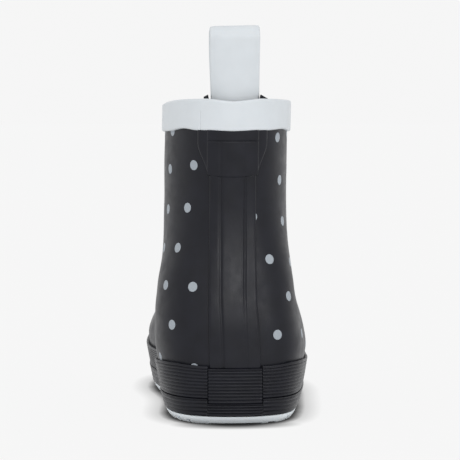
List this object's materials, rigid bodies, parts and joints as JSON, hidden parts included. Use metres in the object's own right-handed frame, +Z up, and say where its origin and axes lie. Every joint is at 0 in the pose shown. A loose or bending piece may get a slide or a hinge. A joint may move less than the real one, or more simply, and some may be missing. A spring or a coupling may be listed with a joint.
{
  "type": "rain boot",
  "caption": "Short child's rain boot for the right foot: hollow rubber upper with back strip, pale collar trim and pull loop, ribbed sole side and lugged outsole.",
  "frame": {"origin": "middle of the boot's own box seen from above, on the floor that it stands on", "axes": "+Z up, +Y from the heel to the toe, +X to the outer side of the right foot"},
  "size_m": [0.0846, 0.1964, 0.1953],
  "materials": {
    "upper_rubber": "satin, with small pale dots",
    "sole_side_rubber": "satin, ribbed",
    "overlay_rubber": "satin",
    "outsole_rubber": "matte",
    "collar_rubber": "satin",
    "loop_rubber": "satin",
    "insole_textile": "knitted textile over foam"
  },
  "bodies": {
    "root": {"outsole": "outsole_rubber", "sole_rand": "sole_side_rubber", "foxing_band": "sole_side_rubber", "heel_panel": "sole_side_rubber", "upper": "upper_rubber", "backstay": "overlay_rubber", "heel_tab": "overlay_rubber", "collar_trim": "collar_rubber", "pull_loop": "loop_rubber", "loop_anchor": "overlay_rubber", "insole": "insole_textile"}
  },
  "joints": []
}
